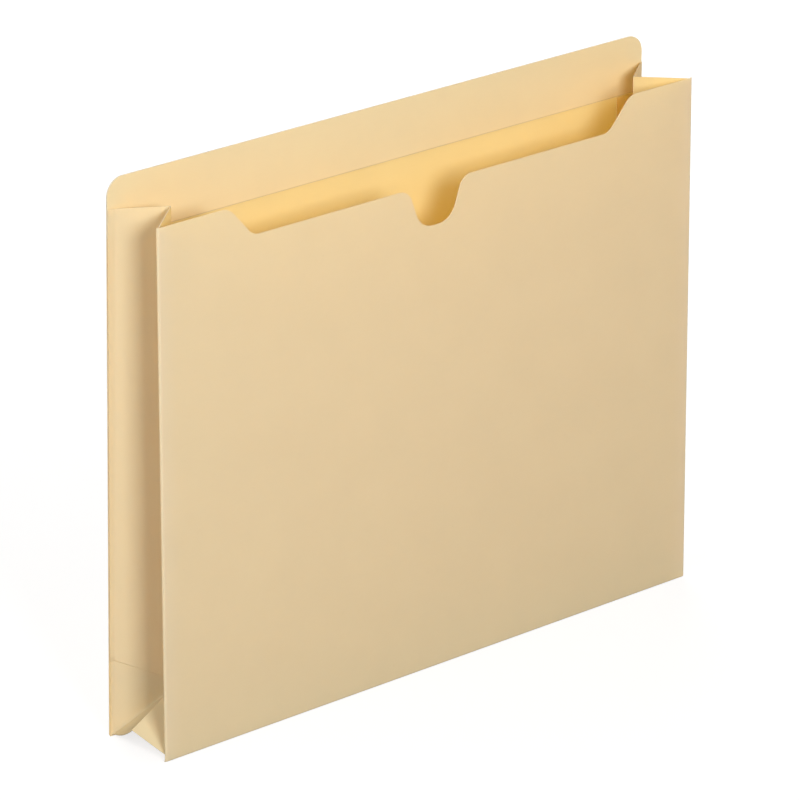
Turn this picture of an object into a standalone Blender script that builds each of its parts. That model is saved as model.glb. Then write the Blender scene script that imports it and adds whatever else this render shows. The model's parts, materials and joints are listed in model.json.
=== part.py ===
"""Expanding file pocket: a letter-size manila pocket that folds flat.

Every crease of the paper is a hinge, so each panel between two creases is an object of its own.
Units are metres, +X runs to the right along the panels, +Y to the back and +Z up.
"""

import math

import bmesh
import bpy
from mathutils import Vector

# The panels
PANEL_WIDTH = 0.29845
BACK_HEIGHT = 0.2413
STOCK = 0.00028

# The reinforced tab along the top of the back panel, which stands above the front panel
TAB_STEP = 0.0127
TAB_PLY_HEIGHT = 0.0254
TAB_CORNER_RADIUS = 0.008

# The cut along the top of the front panel, with its thumb notch
SHOULDER_WIDTH = 0.037
RECESS_SLOPE_RUN = 0.0128
RECESS_DEPTH = 0.014
RECESS_CORNER_RADIUS = 0.008
NOTCH_DEPTH = 0.018
NOTCH_MOUTH_WIDTH = 0.0304
NOTCH_FOOT_WIDTH = 0.0171
NOTCH_MOUTH_RADIUS = 0.007
NOTCH_FOOT_RADIUS = 0.010

# The gussets at the sides and along the bottom, each folded in two along its middle
GUSSET_HALF_WIDTH = 0.0254
FOLD_ANGLE = math.radians(47)
SIDE_FOLD_INSET = 0.0016
BOTTOM_FOLD_HEIGHT = 0.0004
GLUE_LAP_WIDTH = 0.0127
GLUE_LAP_TOP_GAP = 0.0005

# Clearances
CREASE_CLEARANCE = 0.0003
GLUE_GAP = 0.0003
MITRE_LIFT = 0.006
BOTTOM_END_CLEARANCE = 0.001
WEB_TIP_CLEARANCE = 0.0014
WEB_SIDE_CLEARANCE = 0.001
WEB_APEX_GAP = 0.0045
WEB_SLACK = math.radians(5)

# How finely a rounded corner is divided
ARC_STEPS = 8

# Colours of the paper, as linear red, green and blue
OUTER_PAPER = (0.78, 0.63, 0.38, 1.0)
INNER_PAPER = (0.86, 0.64, 0.34, 1.0)
PAPER_ROUGHNESS = 0.85

# Worked out from the sizes above
FRONT_HEIGHT = BACK_HEIGHT - TAB_STEP
FOLD_SINE = math.sin(FOLD_ANGLE)
FOLD_COSINE = math.cos(FOLD_ANGLE)
DEPTH = 2 * (GUSSET_HALF_WIDTH * FOLD_COSINE + STOCK * FOLD_SINE)
SIDE_FOLD = PANEL_WIDTH / 2 - SIDE_FOLD_INSET
BACK_LAYERS = 2 * STOCK + GLUE_GAP
CENTRE_SHIFT = (STOCK - BACK_LAYERS) / 2
WEB_FOLD_ANGLE = 2 * math.atan(math.sqrt(2) * math.tan(FOLD_ANGLE)) - WEB_SLACK
MITRE_LENGTH = math.sqrt(2) * GUSSET_HALF_WIDTH


def clear_scene():
    for old in list(bpy.data.objects):
        bpy.data.objects.remove(old, do_unlink=True)


def paper(name, colour):
    material = bpy.data.materials.new(name)
    material.use_nodes = True
    shader = material.node_tree.nodes["Principled BSDF"]
    shader.inputs["Base Color"].default_value = colour
    shader.inputs["Roughness"].default_value = PAPER_ROUGHNESS
    shader.inputs["Metallic"].default_value = 0.0
    return material


def rounded(corners):
    """The outline through the corners (x, y, radius), with each corner of a radius made an arc."""
    outline = []
    for index, (x, y, radius) in enumerate(corners):
        here = Vector((x, y))
        if radius == 0:
            outline.append(here)
            continue
        before = (Vector(corners[index - 1][:2]) - here).normalized()
        after = (Vector(corners[(index + 1) % len(corners)][:2]) - here).normalized()
        half_corner = before.angle(after) / 2
        centre = here + (before + after).normalized() * radius / math.sin(half_corner)
        start = here + before * radius / math.tan(half_corner) - centre
        sweep = start.angle_signed(here + after * radius / math.tan(half_corner) - centre)
        for step in range(ARC_STEPS + 1):
            turn = -sweep * step / ARC_STEPS
            arm = Vector((
                start.x * math.cos(turn) - start.y * math.sin(turn),
                start.x * math.sin(turn) + start.y * math.cos(turn),
            ))
            outline.append(centre + arm)
    return outline


def plate(name, outline, side_a, side_b, parent, location=(0, 0, 0), rotation=(0, 0, 0), inner=False):
    """A flat piece of paper: the outline in local XY, between two heights along local Z."""
    low, high = min(side_a, side_b), max(side_a, side_b)
    bm = bmesh.new()
    face = bm.faces.new([bm.verts.new((x, y, low)) for x, y in outline])
    grown = bmesh.ops.extrude_face_region(bm, geom=[face])
    raised = [item for item in grown["geom"] if isinstance(item, bmesh.types.BMVert)]
    bmesh.ops.translate(bm, verts=raised, vec=(0, 0, high - low))
    bmesh.ops.recalc_face_normals(bm, faces=bm.faces)
    mesh = bpy.data.meshes.new(name)
    bm.to_mesh(mesh)
    bm.free()
    mesh.materials.append(paper(name + "_paper", INNER_PAPER if inner else OUTER_PAPER))
    piece = bpy.data.objects.new(name, mesh)
    bpy.context.scene.collection.objects.link(piece)
    piece.parent = parent
    piece.location = location
    piece.rotation_euler = rotation
    return piece


def rectangle(left, right, low, high):
    return [(left, low), (right, low), (right, high), (left, high)]


def tab_outline(low):
    """The full width from a lower edge to the rounded top of the tab."""
    half = PANEL_WIDTH / 2
    return rounded([
        (-half, low, 0),
        (half, low, 0),
        (half, BACK_HEIGHT, TAB_CORNER_RADIUS),
        (-half, BACK_HEIGHT, TAB_CORNER_RADIUS),
    ])


def front_outline():
    """The front panel above its bottom fold, with the recess and the thumb notch cut in its top."""
    half = PANEL_WIDTH / 2
    top = FRONT_HEIGHT - BOTTOM_FOLD_HEIGHT
    recess = top - RECESS_DEPTH
    shoulder = half - SHOULDER_WIDTH
    right_half = [
        (half, -BOTTOM_FOLD_HEIGHT, 0),
        (half, top, 0),
        (shoulder, top, RECESS_CORNER_RADIUS),
        (shoulder - RECESS_SLOPE_RUN, recess, RECESS_CORNER_RADIUS),
        (NOTCH_MOUTH_WIDTH / 2, recess, NOTCH_MOUTH_RADIUS),
        (NOTCH_FOOT_WIDTH / 2, recess - NOTCH_DEPTH, NOTCH_FOOT_RADIUS),
    ]
    left_half = [(-x, y, radius) for x, y, radius in reversed(right_half)]
    return rounded(right_half + left_half)


def back_pieces(pocket):
    """The back panel, the second ply of its tab, and the gussets' glue laps on its inside."""
    upright = math.radians(90)
    panel_face = DEPTH / 2 + STOCK + GLUE_GAP
    plate("back_panel", tab_outline(0), -STOCK, 0, pocket, (0, panel_face, 0), (upright, 0, 0))
    ply_low = BACK_HEIGHT - TAB_PLY_HEIGHT
    inside = (0, DEPTH / 2, 0)
    plate("tab_ply", tab_outline(ply_low), -STOCK, 0, pocket, inside, (upright, 0, 0), inner=True)
    lap_top = ply_low - GLUE_LAP_TOP_GAP
    lap_low = BOTTOM_FOLD_HEIGHT + MITRE_LIFT
    for side, label in ((-1, "left"), (1, "right")):
        fold = side * (SIDE_FOLD - CREASE_CLEARANCE)
        edge = side * (SIDE_FOLD - GLUE_LAP_WIDTH)
        lap = [(fold, lap_low), (edge, lap_low + GLUE_LAP_WIDTH), (edge, lap_top), (fold, lap_top)]
        plate(label + "_glue_lap", lap, -STOCK, 0, pocket, inside, (upright, 0, 0), inner=True)


def bottom_and_front(pocket):
    """The bottom gusset's two halves, and the front panel that folds up from the second one."""
    half = SIDE_FOLD - BOTTOM_END_CLEARANCE
    strip = rectangle(-half, half, CREASE_CLEARANCE, GUSSET_HALF_WIDTH - CREASE_CLEARANCE)
    bottom_back = plate(
        "bottom_gusset_back", strip, 0, STOCK, pocket,
        (0, DEPTH / 2, BOTTOM_FOLD_HEIGHT), (math.pi - FOLD_ANGLE, 0, 0),
    )
    bottom_front = plate(
        "bottom_gusset_front", strip, -STOCK, 0, bottom_back,
        (0, GUSSET_HALF_WIDTH, STOCK), (2 * FOLD_ANGLE, 0, 0),
    )
    plate(
        "front_panel", front_outline(), 0, STOCK, bottom_front,
        (0, GUSSET_HALF_WIDTH, -STOCK), (-math.pi / 2 - FOLD_ANGLE, 0, 0),
    )


def web_outline():
    """A corner web in its own plane: X along its diagonal crease from the corner, Y across it.

    Its tip lies on the pocket's middle plane and just inside the side of the pocket.
    """
    across = DEPTH / 2 - WEB_TIP_CLEARANCE
    inward = WEB_SIDE_CLEARANCE
    along_side = inward * FOLD_SINE + across * FOLD_COSINE
    off_side = across * FOLD_SINE - inward * FOLD_COSINE
    tip_reach = (off_side - STOCK) / math.sin(WEB_FOLD_ANGLE)
    tip_along = math.sqrt(2) * along_side - tip_reach * math.cos(WEB_FOLD_ANGLE)
    return [
        (2 * CREASE_CLEARANCE, CREASE_CLEARANCE),
        (MITRE_LENGTH - WEB_APEX_GAP, CREASE_CLEARANCE),
        (tip_along, tip_reach),
    ]


def side_gusset(pocket, side, label):
    """One side gusset: two tall halves, each with its triangular web at the bottom corner."""
    out = -side
    near = CREASE_CLEARANCE
    far = GUSSET_HALF_WIDTH - CREASE_CLEARANCE
    mitre = BOTTOM_FOLD_HEIGHT + MITRE_LIFT
    back_half = [(near, mitre + near), (far, mitre + far), (far, FRONT_HEIGHT), (near, FRONT_HEIGHT)]
    front_half = [(GUSSET_HALF_WIDTH - across, height) for across, height in back_half]
    upright = math.radians(90)
    turn = -math.pi / 2 - side * FOLD_ANGLE
    back = plate(
        label + "_gusset_back", back_half, 0, out * STOCK, pocket,
        (side * SIDE_FOLD, DEPTH / 2, 0), (upright, 0, turn),
    )
    front = plate(
        label + "_gusset_front", front_half, -out * STOCK, 0, back,
        (GUSSET_HALF_WIDTH, 0, out * STOCK), (0, side * 2 * FOLD_ANGLE, 0),
    )
    diagonal = math.radians(45)
    plate(
        label + "_corner_web_back", web_outline(), 0, out * STOCK, back,
        (0, mitre, out * STOCK), (math.pi - out * WEB_FOLD_ANGLE, 0, diagonal),
    )
    plate(
        label + "_corner_web_front", web_outline(), -out * STOCK, 0, front,
        (GUSSET_HALF_WIDTH, mitre, 0), (out * WEB_FOLD_ANGLE, 0, math.pi - diagonal),
    )


def build():
    clear_scene()
    pocket = bpy.data.objects.new("pocket", None)
    bpy.context.scene.collection.objects.link(pocket)
    pocket.location = (0, CENTRE_SHIFT, 0)
    back_pieces(pocket)
    bottom_and_front(pocket)
    side_gusset(pocket, -1, "left")
    side_gusset(pocket, 1, "right")


build()
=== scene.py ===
# %% [markdown]
# # An expanding file pocket in manila paper
# A file pocket is one die-cut sheet of stiff paper, folded and glued so that it stands open on a desk and
# presses flat in a drawer. Everything that shows is paper about a quarter of a millimetre thick: two big
# panels, pleated gussets at the sides and along the bottom, and a second ply that stiffens the tab.
# The solids of the part come first, as a fixed frame. Each sheet below takes its place from that frame and
# stands in for one of its nodes.

# %% Load the frame
import json
import math

import bmesh
import bpy
from mathutils import Matrix, Vector


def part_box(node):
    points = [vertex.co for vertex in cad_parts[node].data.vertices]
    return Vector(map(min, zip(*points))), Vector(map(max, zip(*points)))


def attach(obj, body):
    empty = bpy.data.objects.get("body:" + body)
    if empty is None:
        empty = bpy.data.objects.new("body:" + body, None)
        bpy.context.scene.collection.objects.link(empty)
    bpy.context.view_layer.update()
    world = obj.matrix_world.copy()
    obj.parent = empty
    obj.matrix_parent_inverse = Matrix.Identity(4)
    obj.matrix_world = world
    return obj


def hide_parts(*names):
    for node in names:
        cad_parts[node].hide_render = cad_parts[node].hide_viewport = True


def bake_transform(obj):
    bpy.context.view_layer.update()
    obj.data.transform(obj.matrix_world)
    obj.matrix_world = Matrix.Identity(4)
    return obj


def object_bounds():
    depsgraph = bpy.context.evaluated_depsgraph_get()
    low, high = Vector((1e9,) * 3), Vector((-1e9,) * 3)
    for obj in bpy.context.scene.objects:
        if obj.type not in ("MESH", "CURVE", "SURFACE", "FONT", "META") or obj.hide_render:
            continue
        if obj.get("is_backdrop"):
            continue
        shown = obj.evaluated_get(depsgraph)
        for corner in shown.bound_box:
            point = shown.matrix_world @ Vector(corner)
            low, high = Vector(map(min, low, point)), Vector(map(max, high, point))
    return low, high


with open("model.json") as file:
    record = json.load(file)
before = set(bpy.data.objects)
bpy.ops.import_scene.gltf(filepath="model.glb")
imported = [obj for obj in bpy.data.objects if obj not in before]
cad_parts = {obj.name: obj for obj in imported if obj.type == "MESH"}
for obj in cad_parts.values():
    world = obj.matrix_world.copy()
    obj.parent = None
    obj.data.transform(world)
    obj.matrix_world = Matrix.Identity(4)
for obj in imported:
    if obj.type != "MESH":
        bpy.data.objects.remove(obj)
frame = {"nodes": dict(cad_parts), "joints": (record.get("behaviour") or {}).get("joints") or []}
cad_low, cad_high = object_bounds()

MM = 0.001
size_in_mm = [round(side / MM, 1) for side in cad_high - cad_low]
print("frame:", len(frame["nodes"]), "nodes,", size_in_mm, "mm")

# %% [markdown]
# ## Where the folds are
# The frame holds the panels upright and level with each other, which is right for the hinges. Real paper is
# springier: on the pocket in the photograph the mouth is drawn together. One number, the lean, carries that.
# It is the distance that a panel stands inside its solid at the mouth. At the foot it stands in its solid.

# %% Read the panels from the frame
half_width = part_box("back_panel")[1].x
back_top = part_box("back_panel")[1].z
front_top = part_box("front_panel")[1].z
ply_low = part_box("tab_ply")[0].z
front_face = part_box("front_panel")[1].y
joints = {joint["name"]: joint for joint in frame["joints"]}
crease_x = abs(joints["left_crease"]["pos_m"][0])
crease_y = joints["left_crease"]["pos_m"][1]

PAPER = 0.36 * MM
PLY = 0.28 * MM
GLUE_FILM = 0.01 * MM
PANEL_LEAN = 2.4 * MM
SIDES = ((-1, "left"), (1, "right"))


def middle_of(node):
    """The depth of the middle of a panel's solid."""
    low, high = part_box(node)
    return (low.y + high.y) / 2


back_inner = middle_of("back_panel") - PAPER / 2
glued_on = back_inner - GLUE_FILM - PLY / 2
back_face = back_inner - GLUE_FILM - PLY - GLUE_FILM


def lean(height):
    """How far outwards a panel stands from its solid at that height, which is below zero for inwards."""
    return -PANEL_LEAN * height / front_top


for label, height in (("mouth", front_top), ("base", 0)):
    open_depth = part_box("back_panel")[1].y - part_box("front_panel")[0].y + 2 * lean(height)
    print(label, "is", round(open_depth / MM, 1), "mm deep")

# %% [markdown]
# ## Small helpers for node trees
# The next cells build several node trees. A tree is nodes and the links between their sockets, so one helper
# that makes a node, sets its options and fills its inputs keeps each tree readable: a value is written on
# the socket, and another node's output is linked to it.

# %% Helpers for node trees


def place(tree, kind, values=None, **settings):
    """A new node, with its settings, and its inputs filled with values or linked to other sockets."""
    node = tree.nodes.new(kind)
    for name, setting in settings.items():
        setattr(node, name, setting)
    for key, value in (values or {}).items():
        socket = next(s for s in node.inputs if key in (s.identifier, s.name))
        if isinstance(value, bpy.types.NodeSocket):
            tree.links.new(value, socket)
        else:
            socket.default_value = value
    return node


def number(tree, operation, a, b=0.0, clamp=False):
    """The output of a Math node."""
    values = {"Value": a, "Value_001": b}
    return place(tree, "ShaderNodeMath", values, operation=operation, use_clamp=clamp).outputs[0]


def mixed(tree, kind, factor, a, b, blend="MIX"):
    """The output of a Mix node for a FLOAT, VECTOR or RGBA."""
    ending = {"FLOAT": "Float", "VECTOR": "Vector", "RGBA": "Color"}[kind]
    values = {"Factor_Float": factor, "A_" + ending: a, "B_" + ending: b}
    node = place(tree, "ShaderNodeMix", values, data_type=kind)
    if kind == "RGBA":
        node.blend_type = blend
    return next(s for s in node.outputs if s.identifier == "Result_" + ending)


def scaled(tree, vector, factor):
    """A vector times a number."""
    values = {"Vector": vector, "Scale": factor}
    return place(tree, "ShaderNodeVectorMath", values, operation="SCALE").outputs["Vector"]


def summed(tree, *vectors):
    """The sum of several vectors."""
    total = vectors[0]
    for vector in vectors[1:]:
        values = {"Vector": total, "Vector_001": vector}
        total = place(tree, "ShaderNodeVectorMath", values, operation="ADD").outputs["Vector"]
    return total


def add_inputs(tree, sockets):
    """Named inputs on a tree, as pairs of a name and a socket type, and the node that hands them out."""
    for name, kind in sockets:
        tree.interface.new_socket(name=name, in_out="INPUT", socket_type=kind)
    return tree.nodes.new("NodeGroupInput").outputs


# %% [markdown]
# ## Manila paper
# Manila tag is unbleached pulp, so its colour is a soft buff that is never quite even: the pulp settles in
# clouds a centimetre or two across, fibres lie along the web of the paper machine, and a dark speck shows
# here and there. A photograph would hold all that, but a pattern made by nodes stays sharp at any distance.
# The three effects sit in one shader group that all the papers share. It also lightens the raw edge of the
# sheet and the worn ridge of a fold, and with the same mask it paints a highlight along a flared edge. It
# paints a warm glow on the side that faces into the pocket, for the light that bounces and shines through in
# there, and it paints thin shadow lines as darker paper.

# %% The shared paper group
CLOUD_SCALE = 45.0
CLOUD_DETAIL = 4.0
CLOUD_ROUGHNESS = 0.6
CLOUD_PART = 0.7
FIBRE_SCALE = 1300.0
FIBRE_DETAIL = 3.0
FIBRE_ROUGHNESS = 0.65
FIBRE_STRETCH = (0.16, 0.55, 1.0)
NOISE_MIDDLE = 0.5
SPECK_SCALE = 210.0
SPECK_RADIUS = 0.055
SPECK_DEPTH = 0.12
CLEAN_SHARE = 0.93
FOLD_FADE = 0.5
# How dark the painted shadow lines are
SHADOW_LINE_DEPTH = 0.3
LEAST_ROUGHNESS = 0.72
ROUGHNESS_SWING = 0.2


def weighed(tree, value, weight):
    """A value times a weight."""
    return number(tree, "MULTIPLY", value, weight)


def noise(tree, where, scale, detail, roughness):
    """The value of a noise texture."""
    values = {"Vector": where, "Scale": scale, "Detail": detail, "Roughness": roughness}
    return place(tree, "ShaderNodeTexNoise", values).outputs["Fac"]


def specks(tree, where):
    """One on a few small specks, and zero elsewhere."""
    cells = place(tree, "ShaderNodeTexVoronoi", {"Vector": where, "Scale": SPECK_SCALE})
    chance = place(tree, "ShaderNodeSeparateColor", {"Color": cells.outputs["Color"]}).outputs[0]
    rare = number(tree, "GREATER_THAN", chance, CLEAN_SHARE)
    small = number(tree, "LESS_THAN", cells.outputs["Distance"], SPECK_RADIUS)
    return weighed(tree, rare, small)


def paper_group():
    """Colour, roughness and fine relief of manila, from two colours, a raw edge and four masks."""
    tree = bpy.data.node_groups.new("Manila paper", "ShaderNodeTree")
    given = add_inputs(tree, [
        ("Outside", "NodeSocketColor"),
        ("Inside", "NodeSocketColor"),
        ("Raw Edge", "NodeSocketColor"),
        ("Inside Mask", "NodeSocketFloat"),
        ("Edge Mask", "NodeSocketFloat"),
        ("Wear And Highlight Mask", "NodeSocketFloat"),
        ("Shadow Line Mask", "NodeSocketFloat"),
        ("Clouding", "NodeSocketFloat"),
    ])
    tree.interface.new_socket(name="Colour", in_out="OUTPUT", socket_type="NodeSocketColor")
    for name in ("Roughness", "Height"):
        tree.interface.new_socket(name=name, in_out="OUTPUT", socket_type="NodeSocketFloat")
    where = tree.nodes.new("ShaderNodeTexCoord").outputs["Object"]
    along = place(tree, "ShaderNodeMapping", {"Vector": where, "Scale": FIBRE_STRETCH}).outputs["Vector"]
    cloud = noise(tree, where, CLOUD_SCALE, CLOUD_DETAIL, CLOUD_ROUGHNESS)
    fibre = noise(tree, along, FIBRE_SCALE, FIBRE_DETAIL, FIBRE_ROUGHNESS)

    plain = mixed(tree, "RGBA", given["Inside Mask"], given["Outside"], given["Inside"])
    # The fold mask lightens worn folds, and along a flared low edge it paints a highlight
    worn = mixed(tree, "RGBA", weighed(tree, given["Wear And Highlight Mask"], FOLD_FADE), plain, given["Raw Edge"])
    edged = mixed(tree, "RGBA", given["Edge Mask"], worn, given["Raw Edge"])
    pulp = number(tree, "ADD", weighed(tree, cloud, CLOUD_PART), weighed(tree, fibre, 1 - CLOUD_PART))
    swing = weighed(tree, number(tree, "SUBTRACT", pulp, NOISE_MIDDLE), given["Clouding"])
    bright = number(tree, "ADD", swing, 1.0)
    specked = number(tree, "SUBTRACT", bright, weighed(tree, specks(tree, where), SPECK_DEPTH))
    # The shadow line mask paints thin shadow lines and a little painted shade as darker paper
    lined = number(tree, "SUBTRACT", specked, weighed(tree, given["Shadow Line Mask"], SHADOW_LINE_DEPTH))
    shade = place(tree, "ShaderNodeCombineColor", {"Red": lined, "Green": lined, "Blue": lined})
    colour = mixed(tree, "RGBA", 1.0, edged, shade.outputs["Color"], blend="MULTIPLY")
    rough = number(tree, "ADD", weighed(tree, fibre, ROUGHNESS_SWING), LEAST_ROUGHNESS, clamp=True)
    output = tree.nodes.new("NodeGroupOutput")
    tree.links.new(colour, output.inputs["Colour"])
    tree.links.new(rough, output.inputs["Roughness"])
    tree.links.new(fibre, output.inputs["Height"])
    return tree


manila = paper_group()
print("paper group:", len(manila.nodes), "nodes")

# %% [markdown]
# Each paper is its own material with the group inside. The masks are attributes that the sheets carry: one
# marks the side that faces the inside of the pocket, which gets a painted warm glow; one the cut rim; one how
# near a point is to a fold, which also carries a painted highlight along a flared edge; and one painted
# shade, a thin shadow line beside an edge that lies on another sheet and a little shade below the flap's
# line. Paper hardly shines, so the gloss is one low number on the shader itself. But some light goes right
# through it: that is why the inside of a manila pocket glows orange. A share of a Translucent shader lets
# that happen. What goes through doesn't come back, so the colours below are paler than the paper looks.

# %% Four papers
OUTSIDE = (0.985, 0.91, 0.625, 1.0)
# The inside colour is warmer than the outside: a painted glow for the light bounced and shone through inside
# the pocket
INSIDE_PAINTED_GLOW = (1.0, 0.885, 0.50, 1.0)
LINING = (1.0, 0.825, 0.49, 1.0)
RAW_EDGE = (1.0, 0.95, 0.75, 1.0)
GLOW = (1.0, 0.76, 0.30, 1.0)
LAP_GLOW = (1.0, 0.92, 0.68, 1.0)
PAPER_GLOSS = 0.22
TOOTH_DEPTH = 0.06 * MM
TOOTH_STRENGTH = 0.35
PANEL_CLOUDING = 0.10
GUSSET_CLOUDING = 0.08
PANEL_SHARE = 0.40
LINING_SHARE = 0.15
LAP_SHARE = 0.70
MASKS = {
    "Inside Mask": "inside_face",
    "Edge Mask": "cut_edge",
    "Wear And Highlight Mask": "fold_wear",
    "Shadow Line Mask": "painted_shadow_line",
}


def paper(name, outside, inside, clouding, glow_share, glow=GLOW):
    """Paper with a colour for each side, and a share of light in the glow's colour that goes through."""
    material = bpy.data.materials.new(name)
    material.use_nodes = True
    tree = material.node_tree
    shader = tree.nodes["Principled BSDF"]
    group = place(tree, "ShaderNodeGroup", node_tree=manila)
    colours = {"Outside": outside, "Inside": inside, "Raw Edge": RAW_EDGE, "Clouding": clouding}
    for key, value in colours.items():
        group.inputs[key].default_value = value
    for key, attribute in MASKS.items():
        mask = place(tree, "ShaderNodeAttribute", attribute_name=attribute).outputs["Fac"]
        tree.links.new(mask, group.inputs[key])
    tooth = place(tree, "ShaderNodeBump", {
        "Strength": TOOTH_STRENGTH, "Distance": TOOTH_DEPTH, "Height": group.outputs["Height"]})
    tree.links.new(group.outputs["Colour"], shader.inputs["Base Color"])
    tree.links.new(group.outputs["Roughness"], shader.inputs["Roughness"])
    tree.links.new(tooth.outputs["Normal"], shader.inputs["Normal"])
    shader.inputs["Specular IOR Level"].default_value = PAPER_GLOSS
    through = place(tree, "ShaderNodeBsdfTranslucent", {"Color": glow})
    both = place(tree, "ShaderNodeMixShader", {"Fac": glow_share})
    tree.links.new(shader.outputs[0], both.inputs[1])
    tree.links.new(through.outputs[0], both.inputs[2])
    tree.links.new(both.outputs[0], tree.nodes["Material Output"].inputs["Surface"])
    return material


panel_paper = paper("panel paper", OUTSIDE, INSIDE_PAINTED_GLOW, PANEL_CLOUDING, PANEL_SHARE)
lining_paper = paper("lining paper", LINING, LINING, PANEL_CLOUDING, LINING_SHARE)
lap_paper = paper("lap paper", INSIDE_PAINTED_GLOW, INSIDE_PAINTED_GLOW, PANEL_CLOUDING, LAP_SHARE, LAP_GLOW)
gusset_paper = paper("gusset paper", OUTSIDE, INSIDE_PAINTED_GLOW, GUSSET_CLOUDING, PANEL_SHARE)
print("papers:", [m.name for m in (panel_paper, lining_paper, lap_paper, gusset_paper)])

# %% [markdown]
# ## A sheet's thickness
# Every piece here is a surface that is given a small thickness, so one Geometry Nodes group does it for
# all of them. It copies the surface half a thickness down and turns the copy over, raises the surface by
# the whole thickness with its sides, and joins the two into a closed sheet. The Extrude node knows which
# faces are the top and which the rim, and that is stored for the paper's masks. A Solidify modifier would
# give the same shape, but not those marks.

# %% The thickness group
WELD = 0.002 * MM


def stored(tree, geometry, name, value, domain):
    """The geometry with a value kept under a name on its points or faces."""
    values = {"Geometry": geometry, "Name": name, "Value": value}
    return place(tree, "GeometryNodeStoreNamedAttribute", values, data_type="FLOAT", domain=domain).outputs[0]


def end_tree(tree, geometry, paper_socket):
    """Ends a tree in real geometry with its paper on."""
    tree.interface.new_socket(name="Sheet", in_out="OUTPUT", socket_type="NodeSocketGeometry")
    real = place(tree, "GeometryNodeRealizeInstances", {"Geometry": geometry}).outputs[0]
    dressed = place(tree, "GeometryNodeSetMaterial", {"Geometry": real, "Material": paper_socket}).outputs[0]
    tree.links.new(dressed, tree.nodes.new("NodeGroupOutput").inputs["Sheet"])


def thickness_group():
    """A closed sheet round a surface, with marks on its inside face and its cut rim."""
    tree = bpy.data.node_groups.new("Paper thickness", "GeometryNodeTree")
    given = add_inputs(tree, [
        ("Surface", "NodeSocketGeometry"), ("Thickness", "NodeSocketFloat"), ("Paper", "NodeSocketMaterial")])
    normal = tree.nodes.new("GeometryNodeInputNormal").outputs["Normal"]
    down = scaled(tree, normal, weighed(tree, given["Thickness"], -0.5))
    surface = {"Geometry": given["Surface"], "Offset": down}
    lowered = place(tree, "GeometryNodeSetPosition", surface).outputs[0]
    under = place(tree, "GeometryNodeFlipFaces", {"Mesh": lowered}).outputs[0]
    raised = place(tree, "GeometryNodeExtrudeMesh", {
        "Mesh": lowered, "Offset Scale": given["Thickness"], "Individual": False})
    sheet = stored(tree, raised.outputs["Mesh"], "inside_face", raised.outputs["Top"], "FACE")
    sheet = stored(tree, sheet, "cut_edge", raised.outputs["Side"], "FACE")
    both = tree.nodes.new("GeometryNodeJoinGeometry")
    tree.links.new(under, both.inputs[0])
    tree.links.new(sheet, both.inputs[0])
    closed = place(tree, "GeometryNodeMergeByDistance", {"Geometry": both.outputs[0], "Distance": WELD})
    end_tree(tree, closed.outputs[0], given["Paper"])
    return tree


thickness = thickness_group()
print("thickness group:", len(thickness.nodes), "nodes")

# %% [markdown]
# A tree runs as a modifier on an object. The result is taken as a plain mesh, so that the sheet is ordinary
# geometry from then on and can be moved point by point.

# %% Run a tree and keep the mesh
SMOOTH_UP_TO = math.radians(40)


def identifier(tree, name):
    """The identifier of a tree's input, which is how a modifier stores its value."""
    return next(s.identifier for s in tree.interface.items_tree if s.name == name and s.in_out == "INPUT")


def finished_sheet(name, start_mesh, tree, values):
    """Runs a tree on a mesh and keeps the result as a plain mesh object at the origin."""
    source = bpy.data.objects.new(name + "_source", start_mesh)
    bpy.context.scene.collection.objects.link(source)
    modifier = source.modifiers.new("sheet", "NODES")
    modifier.node_group = tree
    for key, value in values.items():
        modifier[identifier(tree, key)] = value
    evaluated = source.evaluated_get(bpy.context.evaluated_depsgraph_get())
    mesh = bpy.data.meshes.new_from_object(evaluated)
    bpy.data.objects.remove(source)
    mesh.name = name
    mesh.shade_smooth()
    mesh.set_sharp_from_angle(angle=SMOOTH_UP_TO)
    sheet = bpy.data.objects.new(name, mesh)
    bpy.context.scene.collection.objects.link(sheet)
    print(name, len(mesh.polygons), "faces")
    return sheet


# %% [markdown]
# ## Cutting a panel
# A panel is die-cut: straight edges with rounded corners. The outline below is a list of corners with a
# radius each, and a radius turns its corner into an arc. The flat outline is filled as one face and then cut
# into a grid, because a sheet that curls along its folds and bows a little needs points to do so. The grid is
# finer near the foot, where the hinge is.

# %% Outlines and grids
ARC_STEPS = 14
GRID_STEP = 9 * MM


def rounded(corners):
    """The outline through the corners (x, z, radius), each corner with a radius made an arc."""
    outline = []
    for index, (x, z, radius) in enumerate(corners):
        here = Vector((x, z))
        if radius == 0:
            outline.append(here)
            continue
        before = (Vector(corners[index - 1][:2]) - here).normalized()
        after = (Vector(corners[(index + 1) % len(corners)][:2]) - here).normalized()
        half_corner = before.angle(after) / 2
        centre = here + (before + after).normalized() * radius / math.sin(half_corner)
        first = here + before * radius / math.tan(half_corner) - centre
        last = here + after * radius / math.tan(half_corner) - centre
        sweep = -first.angle_signed(last)
        for step in range(ARC_STEPS + 1):
            arm = first.copy()
            arm.rotate(Matrix.Rotation(sweep * step / ARC_STEPS, 2))
            outline.append(centre + arm)
    return outline


def spread(low, high, step):
    """Evenly spread values between two limits, without the limits."""
    count = max(1, round((high - low) / step))
    return [low + (high - low) * index / count for index in range(1, count)]


def cut_panel(outline, columns, rows):
    """The filled outline in the plane of X and Z, cut into a grid along the columns and rows."""
    panel = bmesh.new()
    panel.faces.new([panel.verts.new((x, 0, z)) for x, z in outline])
    for axis, places in (((1, 0, 0), columns), ((0, 0, 1), rows)):
        for distance in places:
            everything = list(panel.verts) + list(panel.edges) + list(panel.faces)
            spot = [distance * part for part in axis]
            bmesh.ops.bisect_plane(panel, geom=everything, plane_co=spot, plane_no=axis)
    bmesh.ops.triangulate(panel, faces=[face for face in panel.faces if len(face.verts) > 4])
    return panel


print("a rounded corner has", ARC_STEPS + 1, "points, and the grid a step of", GRID_STEP / MM, "mm")

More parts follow.
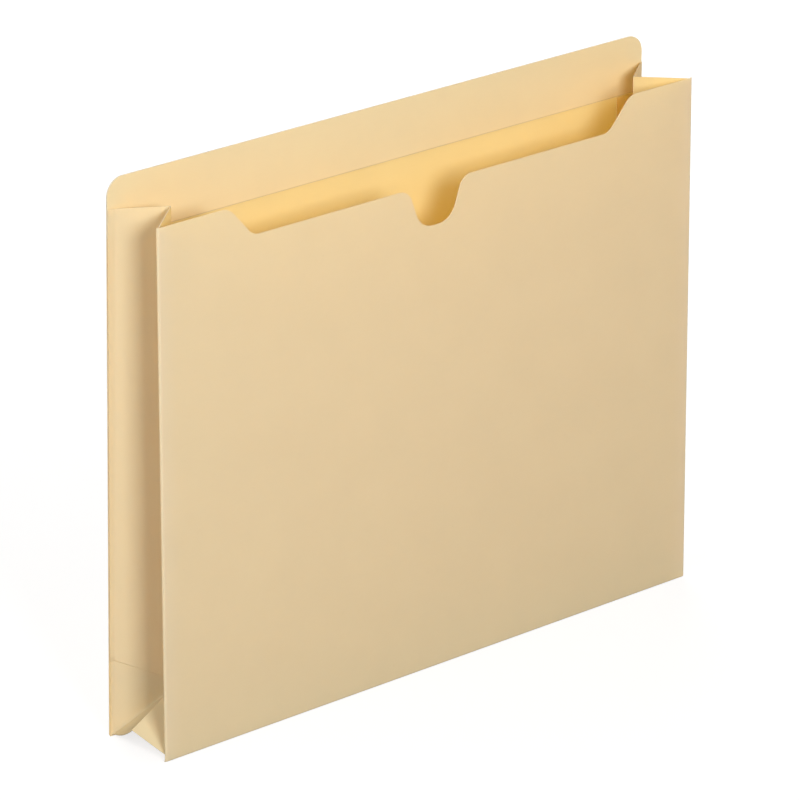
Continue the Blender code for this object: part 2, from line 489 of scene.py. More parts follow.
# %% [markdown]
# A fold in stiff paper isn't a knife edge: the sheet turns through a radius of two or three thicknesses.
# Along the folded edges the flat panel is rolled inwards by a quarter of a turn, which gives the soft light
# line that runs down the edge of the pocket. The same step makes the panel lean and bow.

# %% Rolling the folded edges
FOLD_RADIUS = 0.75 * MM
FOLD_STEPS = 5
PANEL_BOW = 0.5 * MM
ROLL = FOLD_RADIUS * math.pi / 2
ROLL_EXTRA = ROLL - FOLD_RADIUS
FOOT_WEAR_WIDTH = 1.0 * MM
SIDE_WEAR_WIDTH = 2.0 * MM
FLAT_FROM = 0.5 * MM


def rolled(distance):
    """Along and across the sheet, for a point that far past the start of a quarter turn."""
    if distance <= 0:
        return distance, 0.0
    turn = distance / FOLD_RADIUS
    return FOLD_RADIUS * math.sin(turn), FOLD_RADIUS * (1 - math.cos(turn))


def roll_lines(edge, sign):
    """Where a panel is cut so that its rolled edge comes out round."""
    start = edge - FOLD_RADIUS
    turning = [start + ROLL * index / FOLD_STEPS for index in range(FOLD_STEPS)]
    return [sign * line for line in [start - FLAT_FROM] + turning]


def shape_panel(name, panel, depth, inwards, roll_sides, top):
    """Bends a flat cut panel into place and gives back its mesh, with its folds marked as worn."""
    wear_and_highlight = panel.verts.layers.float.new("fold_wear")
    side_start = half_width - PAPER / 2 - FOLD_RADIUS
    up_start = FOLD_RADIUS + PAPER / 2
    for point in panel.verts:
        x, z = point.co.x, point.co.z
        along, across = rolled(up_start - z)
        past_fold = max(0.0, 1 - abs(z) / FOOT_WEAR_WIDTH)
        new_z = up_start - along
        if roll_sides:
            reach, turned = rolled(abs(x) - side_start)
            x = math.copysign(side_start + reach, x)
            across += turned
            past_fold = max(past_fold, 1 - max(0.0, -reach) / SIDE_WEAR_WIDTH)
        bow = PANEL_BOW * math.cos(math.pi * x / (2 * half_width)) * math.sin(math.pi * min(1, new_z / top))
        outwards = lean(new_z) + bow - across
        point.co = (x, depth - inwards * outwards, new_z)
        point[wear_and_highlight] = min(1.0, max(0.0, past_fold))
    panel.normal_update()
    if sum(face.normal.y for face in panel.faces) * inwards < 0:
        bmesh.ops.reverse_faces(panel, faces=panel.faces)
    mesh = bpy.data.meshes.new(name)
    panel.to_mesh(mesh)
    panel.free()
    return mesh


print("a fold takes up", round(ROLL / MM, 2), "mm of paper")

# %% [markdown]
# ## The front panel
# The front is cut away along its top so that a finger reaches the papers, with a thumb notch in the middle.
# Its left, right and bottom edges are folds, so the flat outline reaches a little past them for the roll. The
# recess and the notch could be cut out of a sheet, but as corners of the outline they leave clean edges.

# %% Make the front panel
SHOULDER_WIDTH = 37 * MM
RECESS_SLOPE_RUN = 12.8 * MM
RECESS_DEPTH = 14 * MM
RECESS_CORNER_RADIUS = 8 * MM
NOTCH_DEPTH = 18 * MM
NOTCH_MOUTH_WIDTH = 30.4 * MM
NOTCH_FOOT_WIDTH = 17.1 * MM
NOTCH_MOUTH_RADIUS = 7 * MM
NOTCH_FOOT_RADIUS = 10 * MM
HINGE_ROWS = 8
HINGE_REACH = 7 * MM

hinge_rows = [HINGE_REACH * (index + 1) / HINGE_ROWS for index in range(HINGE_ROWS)]
folded_foot = PAPER / 2 - ROLL_EXTRA
foot_rows = [PAPER / 2 + FOLD_RADIUS - ROLL * index / FOLD_STEPS for index in range(FOLD_STEPS)]


def front_outline():
    """The front panel while it is flat, from its right foot round to its left."""
    folded_side = half_width - PAPER / 2 + ROLL_EXTRA
    recess = front_top - RECESS_DEPTH
    shoulder = half_width - SHOULDER_WIDTH
    right_half = [
        (folded_side, folded_foot, 0),
        (folded_side, front_top, 0),
        (shoulder, front_top, RECESS_CORNER_RADIUS),
        (shoulder - RECESS_SLOPE_RUN, recess, RECESS_CORNER_RADIUS),
        (NOTCH_MOUTH_WIDTH / 2, recess, NOTCH_MOUTH_RADIUS),
        (NOTCH_FOOT_WIDTH / 2, recess - NOTCH_DEPTH, NOTCH_FOOT_RADIUS),
    ]
    return rounded(right_half + [(-x, z, radius) for x, z, radius in reversed(right_half)])


columns = spread(-half_width, half_width, GRID_STEP)
for side in (-1, 1):
    columns += roll_lines(half_width - PAPER / 2, side)
rows = foot_rows + hinge_rows + spread(HINGE_REACH, front_top, GRID_STEP)
panel = cut_panel(front_outline(), columns, rows)
front_mesh = shape_panel("front_surface", panel, middle_of("front_panel"), 1, True, front_top)
front_sheet = finished_sheet(
    "front_sheet", front_mesh, thickness, {"Thickness": PAPER, "Paper": panel_paper})

# %% [markdown]
# ## The back panel, its tab and its laps
# The back stands half an inch taller, and the part above the front is the tab, with rounded corners. A
# second ply is glued inside the tab and ends in a straight line across the mouth. The side gussets are
# glued to the inside of the back by a narrow lap at each side, cut at a slant at its foot. All of them are
# cut and bent as the front was, so that the ply and the laps lean and bow with the panel that they are
# glued to.

# %% Make the back panel, the tab ply and the laps
TAB_CORNER_RADIUS = 8 * MM
LAP_SLANT = 12.7 * MM
HEM_INSET = 0.05 * MM
LOOSE_LIFT = 0.3 * MM
LOOSE_HEIGHT = 8 * MM
LOOSE_FADE = 20 * MM
# Width of the painted shadow line along the ply's lifted edge
PLY_SHADOW_LINE = 0.45 * MM
lap_low, lap_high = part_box("left_glue_lap")


def finish_ply(sheet):
    """Lifts the ply's lower edge a little off the panel, except at its ends, and paints a thin shadow line
    along it.
    """
    line = sheet.data.attributes.new("painted_shadow_line", "FLOAT", "POINT")
    for point in sheet.data.vertices:
        from_end = min(1.0, (half_width - abs(point.co.x)) / LOOSE_FADE)
        above = max(0.0, point.co.z - ply_low)
        point.co.y -= LOOSE_LIFT * from_end * max(0.0, 1 - above / LOOSE_HEIGHT)
        line.data[point.index].value = max(0.0, 1 - above / PLY_SHADOW_LINE)
    sheet.data.update()


def tab_outline(low):
    """The full width from a lower edge to the rounded top of the tab."""
    return rounded([
        (-half_width, low, 0),
        (half_width, low, 0),
        (half_width, back_top, TAB_CORNER_RADIUS),
        (-half_width, back_top, TAB_CORNER_RADIUS),
    ])


def lap_outline(side):
    """A glue lap, with its foot cut at a slant."""
    outer = side * (half_width - HEM_INSET)
    inner = side * abs(lap_high.x)
    return [Vector(spot) for spot in (
        (outer, lap_low.z), (inner, lap_low.z + LAP_SLANT), (inner, lap_high.z), (outer, lap_high.z))]


def back_piece(name, depth, thick, outline, rows, material):
    """A sheet of the back: its outline cut into a grid, bent into place and given its thickness."""
    grid = cut_panel(outline, spread(-half_width, half_width, GRID_STEP), rows)
    surface = shape_panel(name + "_surface", grid, depth, -1, False, back_top)
    return finished_sheet(name, surface, thickness, {"Thickness": thick, "Paper": material})


back_rows = foot_rows + hinge_rows + spread(HINGE_REACH, back_top, GRID_STEP)
back_sheet = back_piece(
    "back_sheet", middle_of("back_panel"), PAPER, tab_outline(folded_foot), back_rows, panel_paper)
ply_rows = [ply_low + PLY_SHADOW_LINE] + spread(ply_low, back_top, GRID_STEP)
tab_sheet = back_piece("tab_ply_sheet", glued_on, PLY, tab_outline(ply_low), ply_rows, lining_paper)
finish_ply(tab_sheet)
lap_rows = spread(lap_low.z, lap_high.z, GRID_STEP)
lap_sheets = {}
for side, label in SIDES:
    lap_sheets[label] = back_piece(
        label + "_lap_sheet", glued_on, PLY, lap_outline(side), lap_rows, lap_paper)

# %% [markdown]
# ## A folded sheet
# The pleats of the gussets all follow one rule: a strip of paper is stretched straight between two edges, and
# the edges are creases. Such a ruled sheet is what Geometry Nodes do well. The tree starts from a unit grid,
# reads each point's place across and along it, and moves the point to the matching place between the near
# edge and the far edge. Each edge has a middle knot, so a row of the grid can follow a line on the paper. A
# hem may run on past the near edge, on steps of its own.

# %% The grid of a folded sheet
LEVELS = ("Low", "Middle", "High")
EDGES = ("Near", "Far", "Hem")
# The unit grid is centred on the origin
HALF_UNIT = 0.5


def folded_inputs(tree):
    """The tree's named inputs: points on the edges, what bends the sheet, steps, lines and paper."""
    vectors = [edge + " " + level for edge in EDGES for level in LEVELS] + ["Droop", "Step", "Flare"]
    sockets = [(name, "NodeSocketVector") for name in vectors]
    for name in ("Steps Hem", "Steps Across", "Steps Below", "Steps Above"):
        sockets.append((name, "NodeSocketInt"))
    for name in ("Knot Line", "Low Line", "Thickness"):
        sockets.append((name, "NodeSocketFloat"))
    sockets += [("Turned Over", "NodeSocketBool"), ("Paper", "NodeSocketMaterial")]
    return add_inputs(tree, sockets)


def unit_grid(tree, steps_across, steps_along):
    """A grid of one by one, and for each of its points the shares of the way across and along it."""
    grid = place(tree, "GeometryNodeMeshGrid", {
        "Size X": 1.0, "Size Y": 1.0,
        "Vertices X": number(tree, "ADD", steps_across, 1.0),
        "Vertices Y": number(tree, "ADD", steps_along, 1.0)}).outputs["Mesh"]
    position = tree.nodes.new("GeometryNodeInputPosition").outputs[0]
    spot = place(tree, "ShaderNodeSeparateXYZ", {"Vector": position}).outputs
    return grid, number(tree, "ADD", spot["X"], HALF_UNIT), number(tree, "ADD", spot["Y"], HALF_UNIT)


def past_line(tree, share, line):
    """Zero up to a line on the way, and from there rising to one at the end."""
    past = number(tree, "SUBTRACT", share, line)
    return number(tree, "DIVIDE", past, number(tree, "SUBTRACT", 1.0, line), clamp=True)


def edge_points(tree, given, along, knot):
    """For a place along the sheet: the point on its near edge, on its far edge, and the hem's reach."""
    below = number(tree, "DIVIDE", along, knot, clamp=True)
    above = past_line(tree, along, knot)
    points = []
    for edge in EDGES:
        lower = mixed(tree, "VECTOR", below, given[edge + " Low"], given[edge + " Middle"])
        points.append(mixed(tree, "VECTOR", above, lower, given[edge + " High"]))
    return points


# %% [markdown]
# Paper isn't quite straight between its creases. Three inputs bend the sheet: a droop of its near edge, a
# small step below the knot, where the edge of a hidden flap prints through, and a flare that turns its low
# edge outwards. The flared edge is also painted lighter, a painted highlight where it turns towards the
# light. Two more inputs paint a thin shadow line below the knot and one along the low edge. A shadow that
# narrow is lost between the pixels of a picture, so it is painted into the paper as a dark line. Below the
# knot the whole sheet is painted a little darker too, as painted shade for the smaller amount of light that
# comes through two layers.

# %% The folded sheet tree
WEAR_SHARE = 0.06
FLARE_WIDTH = 1.8 * MM
LINE_WIDTH = 1.3 * MM
# Painted shade below the knot, for the smaller amount of light that comes through two layers
TWO_LAYER_SHADE = 0.22
# An arch of x times 1 - x is a quarter high, and this makes it one
ARCH_PEAK = 4.0


def closeness(tree, point, line_point, width):
    """One on a line, falling to zero at a width from it."""
    values = {"Vector": point, "Vector_001": line_point}
    away = place(tree, "ShaderNodeVectorMath", values, operation="DISTANCE").outputs["Value"]
    return number(tree, "SUBTRACT", 1.0, number(tree, "DIVIDE", away, width), clamp=True)


def end_folded(tree, given, surface):
    """Welds the surface, turns its faces to the inside of the pocket, and gives it its thickness."""
    welded = place(tree, "GeometryNodeMergeByDistance", {"Geometry": surface, "Distance": WELD}).outputs[0]
    turned = place(tree, "GeometryNodeFlipFaces", {"Mesh": welded}).outputs[0]
    facing = place(tree, "GeometryNodeSwitch", {
        "Switch": given["Turned Over"], "False": welded, "True": turned}, input_type="GEOMETRY").outputs[0]
    sheet = place(tree, "GeometryNodeGroup", node_tree=thickness)
    for name, socket in (("Surface", facing), ("Thickness", given["Thickness"]), ("Paper", given["Paper"])):
        tree.links.new(socket, sheet.inputs[name])
    end_tree(tree, sheet.outputs[0], given["Paper"])


def folded_sheet_tree():
    """A sheet ruled between two edges, with its bends, its marks, its thickness and its paper."""
    tree = bpy.data.node_groups.new("Folded sheet", "GeometryNodeTree")
    given = folded_inputs(tree)
    steps_across = number(tree, "ADD", given["Steps Hem"], given["Steps Across"])
    steps_along = number(tree, "ADD", given["Steps Below"], given["Steps Above"])
    grid, whole, along = unit_grid(tree, steps_across, steps_along)
    hem_part = number(tree, "DIVIDE", given["Steps Hem"], steps_across)
    across = past_line(tree, whole, hem_part)
    on_hem = number(tree, "DIVIDE", number(tree, "SUBTRACT", hem_part, whole), hem_part, clamp=True)
    knot = number(tree, "DIVIDE", given["Steps Below"], steps_along)
    near_edge, far_edge, hem = edge_points(tree, given, along, knot)
    straight = mixed(tree, "VECTOR", across, near_edge, far_edge)
    low_edge = mixed(tree, "VECTOR", across, given["Near Low"], given["Far Low"])
    knot_edge = mixed(tree, "VECTOR", across, given["Near Middle"], given["Far Middle"])
    at_low = closeness(tree, straight, low_edge, FLARE_WIDTH)
    at_knot = closeness(tree, straight, knot_edge, LINE_WIDTH)
    under_knot = number(tree, "MULTIPLY", number(tree, "SUBTRACT", knot, along), steps_along, clamp=True)

    from_far = number(tree, "SUBTRACT", 1.0, across)
    from_high = number(tree, "SUBTRACT", 1.0, along)
    arch = weighed(tree, weighed(tree, along, from_high), ARCH_PEAK)
    placed = summed(
        tree, straight,
        scaled(tree, given["Droop"], weighed(tree, arch, from_far)),
        scaled(tree, given["Step"], under_knot),
        scaled(tree, hem, on_hem),
        scaled(tree, given["Flare"], weighed(tree, at_low, at_low)))

    to_fold = number(tree, "MINIMUM", across, from_far)
    fold_wear = number(tree, "SUBTRACT", 1.0, number(tree, "DIVIDE", to_fold, WEAR_SHARE), clamp=True)
    flare = place(tree, "ShaderNodeVectorMath", {"Vector": given["Flare"]}, operation="LENGTH")
    is_flared = number(tree, "GREATER_THAN", flare.outputs["Value"], 0.0)
    # Worn folds, plus a painted highlight along the flared low edge
    wear_and_highlight = number(tree, "MAXIMUM", fold_wear, weighed(tree, at_low, is_flared))
    below_knot = weighed(tree, under_knot, given["Knot Line"])
    knot_line = weighed(tree, number(tree, "MAXIMUM", at_knot, TWO_LAYER_SHADE), below_knot)
    line = number(tree, "MAXIMUM", knot_line, weighed(tree, at_low, given["Low Line"]))

    surface = place(tree, "GeometryNodeSetPosition", {"Geometry": grid, "Position": placed}).outputs[0]
    # The fold_wear attribute carries both the worn folds and the painted highlight of the flared edge
    surface = stored(tree, surface, "fold_wear", wear_and_highlight, "POINT")
    surface = stored(tree, surface, "painted_shadow_line", line, "POINT")
    end_folded(tree, given, surface)
    return tree


folded = folded_sheet_tree()
print("folded sheet tree:", len(folded.nodes), "nodes")

# %% [markdown]
# One helper fills the tree's inputs for a sheet. It also finds out which side of the sheet faces into the
# pocket, because that side gets a painted warm glow, which stands in for the light that bounces and shines
# through inside the pocket.

# %% Make a folded sheet
NONE = Vector((0, 0, 0))
HEM_STEPS = 4


def folded_sheet(
        name, near, far, inside, steps, droop=NONE, step=NONE, flare=NONE, hem=(NONE,) * 3,
        knot_line=0.0, low_line=0.0):
    """A sheet between a near and a far edge, each given by its low, middle and high point.

    Inside is a point on the side of the sheet that faces into the pocket. A hem runs on past the near edge.
    """
    upward = near[2] - near[0] + far[2] - far[0]
    normal = (far[1] - near[1]).cross(upward)
    values = {
        "Droop": droop, "Step": step, "Flare": flare, "Knot Line": knot_line, "Low Line": low_line,
        "Thickness": PAPER, "Paper": gusset_paper}
    values["Turned Over"] = normal.dot(inside - near[1]) < 0
    values["Steps Hem"] = HEM_STEPS if hem[0].length > 0 else 0
    for key, count in zip(("Steps Across", "Steps Below", "Steps Above"), steps):
        values[key] = count
    for edge, points in zip(EDGES, (near, far, hem)):
        for level, point in zip(LEVELS, points):
            values[edge + " " + level] = point
    return finished_sheet(name, bpy.data.meshes.new(name + "_start"), folded, values)


# %% [markdown]
# ## The side gussets
# A side gusset is a strip folded in half along its middle, so that the side of the pocket is a V that opens
# like an accordion. Its back edge is glued a little inside the edge of the back panel, and its front edge is
# the fold of the front panel. At the foot each half is cut along the diagonal that runs from the corner of
# the base up to the middle crease. A flap of the base is glued behind the back half. It is a small sheet of
# its own, and its upper edge prints through as a faint step, with a painted shadow line along it and a little
# painted shade below it. Flat planes would do for the halves, but the folded sheet also gives the hem, the
# printed line and the cut edge that stands out a little, with a painted highlight on it.

# %% Make the side gussets
BACK_FOLD_INSET = {-1: (1.4 * MM, 3.2 * MM), 1: (0.8 * MM, 0.9 * MM)}
HEM_SLOPE = 0.2
FRONT_FOLD_INSET = 0.5 * MM
PEAK_RISE = 1.0 * MM
BACK_FOOT = 0.6 * MM
FRONT_FOOT = 2.6 * MM
DIAGONAL_TOP = 21.6 * MM
FLAP_LINE_BACK = 34.0 * MM
FLAP_LINE_CREASE = 25.5 * MM
FLAP_STEP = 0.5 * MM
EDGE_FLARE = 0.55 * MM
FLAP_BEHIND = 0.95 * MM
FLAP_SHARE = (0.12, 0.97)
HALF_STEPS = (24, 64, 90)
FLAP_STEPS = (12, 6, 6)
BACK_HEIGHTS = (BACK_FOOT, FLAP_LINE_BACK, front_top)
CREASE_HEIGHTS = (DIAGONAL_TOP, FLAP_LINE_CREASE, front_top + PEAK_RISE)
FRONT_HEIGHTS = (FRONT_FOOT, FLAP_LINE_BACK, front_top - PAPER)
pocket_middle = Vector((0, crease_y, front_top / 2))


def back_inset(side, height):
    """How far the gusset's back fold lies inside the edge of the panel, which isn't quite even."""
    at_foot, at_top = BACK_FOLD_INSET[side]
    return at_foot + (at_top - at_foot) * height / front_top


def hem_reach(side, height):
    """From the gusset's back fold out to the edge of the panel, sloping back to it."""
    width = back_inset(side, height) - HEM_INSET
    return Vector((side * width, HEM_SLOPE * width, 0))


def back_fold(side, height):
    """A point on the fold between a side gusset and the back panel."""
    edge = Vector((side * (half_width - HEM_INSET), back_face - PAPER / 2 + lean(height), height))
    return edge - hem_reach(side, height)


def front_fold(side, height):
    """A point on the fold between a side gusset and the front panel."""
    return Vector((side * (half_width - FRONT_FOLD_INSET), front_face + PAPER / 2 - lean(height), height))


def crease(side, height):
    """A point on the crease down the middle of a side gusset."""
    return Vector((side * crease_x, crease_y, height))


def flap_edge(side, share):
    """A line up the flap behind the back half, at a share of the way from the back fold to the crease."""
    low = back_fold(side, BACK_FOOT).lerp(crease(side, DIAGONAL_TOP), share)
    high = back_fold(side, FLAP_LINE_BACK).lerp(crease(side, FLAP_LINE_CREASE), share)
    behind = Vector((-side, 1, 0)).normalized() * FLAP_BEHIND
    return [low + behind, (low + high) / 2 + behind, high + behind]


gusset_sheets = {}
flap_sheets = {}
for side, label in SIDES:
    outwards = Vector((side, -1, 0)).normalized()
    at_back = [back_fold(side, height) for height in BACK_HEIGHTS]
    at_crease = [crease(side, height) for height in CREASE_HEIGHTS]
    at_front = [front_fold(side, height) for height in FRONT_HEIGHTS]
    hem = [hem_reach(side, height) for height in BACK_HEIGHTS]
    # The back half carries a painted shadow line at the flap's edge, painted shade below it, and a painted
    # highlight on its flared low edge
    gusset_sheets[label + "_back"] = folded_sheet(
        label + "_gusset_back_sheet", at_back, at_crease, pocket_middle, HALF_STEPS,
        step=-outwards * FLAP_STEP, flare=outwards * EDGE_FLARE, hem=hem, knot_line=1.0)
    gusset_sheets[label + "_front"] = folded_sheet(
        label + "_gusset_front_sheet", at_crease, at_front, pocket_middle, HALF_STEPS)
    near_edge, far_edge = (flap_edge(side, share) for share in FLAP_SHARE)
    flap_sheets[label] = folded_sheet(
        label + "_base_flap_sheet", near_edge, far_edge, pocket_middle, FLAP_STEPS)

# %% [markdown]
# ## The corner webs
# Where a side gusset meets the bottom gusset, two small triangles of paper close the corner. They rise
# from the ends of the base to the crease, like the gable of a roof, and meet in a ridge. They are ruled
# sheets too, with a far edge that shrinks to one point. The lower edge of the back one sags a little.

# %% Make the corner webs
GABLE_FOOT = 9.4 * MM
GABLE_STAND_OUT = 3.0 * MM
WEB_TUCK = 0.8 * MM
FOOT_TUCK = 0.3 * MM
WEB_LIFT = 1.0 * MM
WEB_SAG = {"back": 1.2 * MM, "front": 0.0}
# Strength of the painted shadow line along a web's low edge
WEB_SHADOW_LINE = 0.8
WEB_STEPS = (20, 10, 10)
base_middle = Vector((0, crease_y, 0))


def gable(side):
    """The point where the ridge between two webs comes out at the side of the pocket."""
    return Vector((side * (half_width + GABLE_STAND_OUT), crease_y, GABLE_FOOT))


def web_corners(side):
    """The corners of the base that the two webs of a side rise from, with their names."""
    return ("back", back_fold(side, BACK_FOOT)), ("front", front_fold(side, FRONT_FOOT))


web_sheets = {}
for side, label in SIDES:
    inwards = Vector((-side, 0, 0))
    top = crease(side, DIAGONAL_TOP + WEB_LIFT) + inwards * WEB_TUCK
    end = gable(side)
    for place_name, corner in web_corners(side):
        foot = corner + inwards * FOOT_TUCK
        web_sheets[label + "_" + place_name] = folded_sheet(
            label + "_web_" + place_name + "_sheet", [foot, (foot + end) / 2, end], [top, top, top],
            base_middle, WEB_STEPS, droop=Vector((0, 0, -WEB_SAG[place_name])), low_line=WEB_SHADOW_LINE)

# %% [markdown]
# ## The bottom gusset
# The bottom is pleated like the sides, with its ridge inside the pocket. Each half runs the whole width from
# the fold under a panel up to the ridge. Only near its ends does the ridge dip, towards the webs. The dip
# follows the width of the pocket, so it is put on the finished mesh, point by point.

# %% Make the bottom gusset
RIDGE_HEIGHT = 18.4 * MM
RIDGE_DIP_LENGTH = 18 * MM
BOTTOM_STEPS = (22, 80, 80)
FRONT_END_INSET = 5 * MM
BACK_END_INSET = 1 * MM
RIDGE_END_INSET = 5 * MM
FOLD_LIFT = 0.25 * MM
fold_height = PAPER / 2 + FOLD_LIFT


def bottom_line(depth, height, left_inset, right_inset):
    """A level line across the pocket, as its left end, middle and right end."""
    return [Vector((x, depth, height)) for x in (left_inset - half_width, 0, half_width - right_inset)]


def settle_ends(sheet, web_sag):
    """Lowers the ridge towards the gables at both ends, and lets the ends sag as the webs do."""
    for point in sheet.data.vertices:
        past = max(0.0, abs(point.co.x) - (half_width - RIDGE_DIP_LENGTH)) / RIDGE_DIP_LENGTH
        share = min(1.0, max(0.0, point.co.z / RIDGE_HEIGHT))
        sag = ARCH_PEAK * share * (1 - share) * web_sag
        point.co.z -= ((RIDGE_HEIGHT - GABLE_FOOT) * share + sag) * past * past
    sheet.data.update()


back_foot_y = middle_of("back_panel") + lean(0) - FOLD_RADIUS
front_foot_y = middle_of("front_panel") - lean(0) + FOLD_RADIUS
back_insets = [back_inset(side, 0) + BACK_END_INSET for side in (-1, 1)]
back_line = bottom_line(back_foot_y, fold_height, *back_insets)
ridge_inset = RIDGE_END_INSET - GABLE_STAND_OUT
ridge_line = bottom_line(crease_y, RIDGE_HEIGHT, ridge_inset, ridge_inset)
front_line = bottom_line(front_foot_y, fold_height, FRONT_END_INSET, FRONT_END_INSET)
bottom_sheets = {
    "back": folded_sheet(
        "bottom_gusset_back_sheet", back_line, ridge_line, pocket_middle, BOTTOM_STEPS),
    "front": folded_sheet(
        "bottom_gusset_front_sheet", ridge_line, front_line, pocket_middle, BOTTOM_STEPS),
}
for place_name, sheet in bottom_sheets.items():
    settle_ends(sheet, WEB_SAG[place_name])
print("ridge", round(RIDGE_HEIGHT / MM, 1), "mm high, dipping at its ends towards", round(GABLE_FOOT / MM, 1))

# %% [markdown]
# ## Setting the sheets in place
# The back panel, its ply and its laps hang on the back body. Every other sheet has its place baked into its
# mesh. Each sheet hides the solid that it stands in for. The flaps stand in for nothing, because they have no
# solid.


def hang(node):
    """Hides the solid that a sheet stands in for."""
    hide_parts(node)


def turn_between(sheet):
    """Bakes the sheet's place into its mesh."""
    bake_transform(sheet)


for sheet, node, slot in (
        (back_sheet, "back_panel", "manila_outer"),
        (tab_sheet, "tab_ply", "manila_inner"),
        (lap_sheets["left"], "left_glue_lap", "manila_inner"),
        (lap_sheets["right"], "right_glue_lap", "manila_inner")):
    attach(sheet, "back")
    hang(node)

turn_between(front_sheet)
hang("front_panel")

turn_between(bottom_sheets["back"])
turn_between(bottom_sheets["front"])
for place_name, sheet in bottom_sheets.items():
    hang("bottom_gusset_" + place_name)

half_way = front_top / 2
for side, label in SIDES:
    at_back, at_crease, at_front = (line(side, half_way) for line in (back_fold, crease, front_fold))
    for sheet in (gusset_sheets[label + "_back"], flap_sheets[label]):
        turn_between(sheet)
    turn_between(gusset_sheets[label + "_front"])
    for place_name, corner in web_corners(side):
        body = label + "_" + place_name
        turn_between(
            web_sheets[body])
        hang(label + "_gusset_" + place_name)
        hang(label + "_corner_web_" + place_name)

# %% [markdown]
# ## Floor, light and camera
# The pocket stands on a plain white sweep. For the camera the floor is mostly its own white, with just enough
# of the light on it left to keep a soft shadow, and far off it turns all white, so that no horizon shows.
# A studio's paper sweep curves up behind the object, but a flat floor looks the same from every side. The sky
# is white for the camera too, and lights the pocket only weakly.

# %% Floor and sky
FLOOR_SIZE = 8.0
FLOOR_WHITE = 0.4
FLOOR_SHADE = 0.30
FLOOR_GLOW = 0.78
WHITE_FROM = 0.9
WHITE_PAST = 2.0
SKY_LIGHT = 0.12


def is_seen(tree):
    """One for rays that should meet a white background: the camera's, off a gloss or through glass.

    A ray that went through paper is a diffuse one, and is left out.
    """
    path = tree.nodes.new("ShaderNodeLightPath").outputs
    gloss = number(tree, "MAXIMUM", path["Is Glossy Ray"], path["Is Transmission Ray"])
    clear = number(tree, "SUBTRACT", gloss, path["Is Diffuse Ray"], clamp=True)
    return number(tree, "MAXIMUM", path["Is Camera Ray"], clear)


def matt_grey(tree, level):
    """A matt shader of an even grey."""
    return place(tree, "ShaderNodeBsdfDiffuse", {"Color": (level, level, level, 1)}).outputs[0]


def floor_material():
    """Matt grey for the light, and a white glow with a weak shadow for the camera."""
    material = bpy.data.materials.new("white sweep")
    material.use_nodes = True
    tree = material.node_tree
    tree.nodes.clear()
    lit = matt_grey(tree, FLOOR_WHITE)
    shade = matt_grey(tree, FLOOR_SHADE)
    where = tree.nodes.new("ShaderNodeTexCoord").outputs["Object"]
    distance = place(tree, "ShaderNodeVectorMath", {"Vector": where}, operation="LENGTH").outputs["Value"]
    past = number(tree, "SUBTRACT", distance, WHITE_FROM)
    far_off = number(tree, "DIVIDE", past, WHITE_PAST - WHITE_FROM, clamp=True)
    strength = mixed(tree, "FLOAT", far_off, FLOOR_GLOW, 1.0)
    glow = place(tree, "ShaderNodeEmission", {"Color": (1, 1, 1, 1), "Strength": strength}).outputs[0]
    shown = tree.nodes.new("ShaderNodeAddShader")
    tree.links.new(shade, shown.inputs[0])
    tree.links.new(glow, shown.inputs[1])
    either = place(tree, "ShaderNodeMixShader", {"Fac": is_seen(tree)})
    tree.links.new(lit, either.inputs[1])
    tree.links.new(shown.outputs[0], either.inputs[2])
    output = tree.nodes.new("ShaderNodeOutputMaterial")
    tree.links.new(either.outputs[0], output.inputs["Surface"])
    return material


def make_floor():
    """A level floor under the pocket, and its height."""
    half = FLOOR_SIZE / 2
    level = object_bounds()[0].z
    mesh = bpy.data.meshes.new("floor")
    corners = [(-half, -half, level), (half, -half, level), (half, half, level), (-half, half, level)]
    mesh.from_pydata(corners, [], [(0, 1, 2, 3)])
    mesh.materials.append(floor_material())
    floor = bpy.data.objects.new("floor", mesh)
    bpy.context.scene.collection.objects.link(floor)
    floor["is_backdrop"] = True
    return level


def make_sky():
    """A white sky that gives only a weak light."""
    world = bpy.data.worlds.new("sky")
    world.use_nodes = True
    bpy.context.scene.world = world
    tree = world.node_tree
    background = tree.nodes["Background"]
    background.inputs["Color"].default_value = (1, 1, 1, 1)
    strength = mixed(tree, "FLOAT", is_seen(tree), SKY_LIGHT, 1.0)
    tree.links.new(strength, background.inputs["Strength"])


print("floor at", round(make_floor() / MM, 2), "mm")
make_sky()

# %% [markdown]
# The lamps are a studio's: a key lamp in front, softer ones at the left and the right, a rim lamp high behind
# the left side, and a broad lamp behind, whose light comes through the paper and makes the inside glow. They
# are square area lamps, because their shadows have soft edges. Together they give a plain level of light, at
# which a matt colour renders about as it is written.

# %% Lamps
pocket_centre = Vector((0, 0, back_top / 2))


def seen_from(azimuth, elevation, distance):
    """A place round the pocket: azimuth 0 is in front of it, and a positive one is to the right."""
    turn = math.radians(azimuth)
    rise = math.radians(elevation)
    flat = Vector((math.sin(turn), -math.cos(turn), 0)) * math.cos(rise)
    return pocket_centre + (flat + Vector((0, 0, math.sin(rise)))) * distance


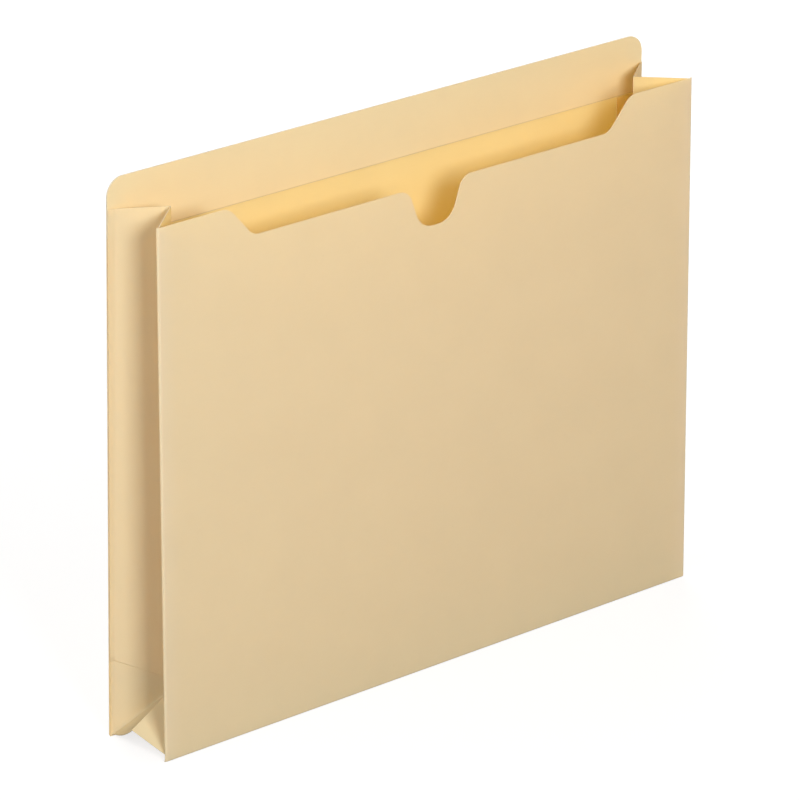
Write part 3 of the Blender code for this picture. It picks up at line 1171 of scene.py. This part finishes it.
def soft_lamp(name, azimuth, elevation, distance, size, watts):
    """A square lamp that points at the middle of the pocket."""
    lamp = bpy.data.lights.new(name, "AREA")
    lamp.shape = "SQUARE"
    lamp.size = size
    lamp.energy = watts
    holder = bpy.data.objects.new(name, lamp)
    holder.location = seen_from(azimuth, elevation, distance)
    holder.rotation_euler = (pocket_centre - holder.location).to_track_quat("-Z", "Y").to_euler()
    bpy.context.scene.collection.objects.link(holder)
    print(name, "at", [round(part, 2) for part in holder.location], "m,", watts, "W")


soft_lamp("key lamp", azimuth=-24, elevation=23, distance=1.5, size=0.43, watts=14.0)
soft_lamp("left lamp", azimuth=-80, elevation=28, distance=1.3, size=0.7, watts=4.6)
soft_lamp("right lamp", azimuth=40, elevation=30, distance=1.3, size=0.7, watts=2.4)
soft_lamp("back lamp", azimuth=150, elevation=18, distance=1.5, size=1.2, watts=19)
soft_lamp("rim lamp", azimuth=-125, elevation=50, distance=1.3, size=0.7, watts=2.2)

# %% [markdown]
# The photograph was taken with a long lens from the left and above. The camera's place was found by matching
# the corners of the panels. It looks at a point close to the middle of the pocket, with a slight roll.

# %% Camera
AZIMUTH = -42.82
ELEVATION = 20.49
DISTANCE = 2.41
LENS = 259.8
SENSOR = 36
AIM = Vector((-3.7, 0.9, 115.7)) * MM
ROLL_ANGLE = math.radians(0.36)


def make_camera():
    """A long lens on the photograph's side of the pocket."""
    camera = bpy.data.cameras.new("camera")
    camera.lens = LENS
    camera.sensor_width = SENSOR
    holder = bpy.data.objects.new("camera", camera)
    eye = seen_from(AZIMUTH, ELEVATION, DISTANCE)
    looking = (AIM - eye).to_track_quat("-Z", "Y").to_matrix() @ Matrix.Rotation(ROLL_ANGLE, 3, "Z")
    holder.matrix_world = Matrix.Translation(eye) @ looking.to_4x4()
    bpy.context.scene.collection.objects.link(holder)
    bpy.context.scene.camera = holder
    print("camera", round((AIM - eye).length, 2), "m from what it looks at")


make_camera()
bpy.context.scene.view_settings.view_transform = "Standard"

# %% [markdown]
# ## Sizes
# The last cell prints the box of the frame beside the box of the dressed pocket, so that they can be
# compared.

# %% Print the sizes
visual_low, visual_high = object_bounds()
boxes = {
    "cad": [list(cad_low), list(cad_high)],
    "visual": [list(visual_low), list(visual_high)],
}
for name, (low, high) in boxes.items():
    print(name, [round((b - a) / MM, 2) for a, b in zip(low, high)], "mm")
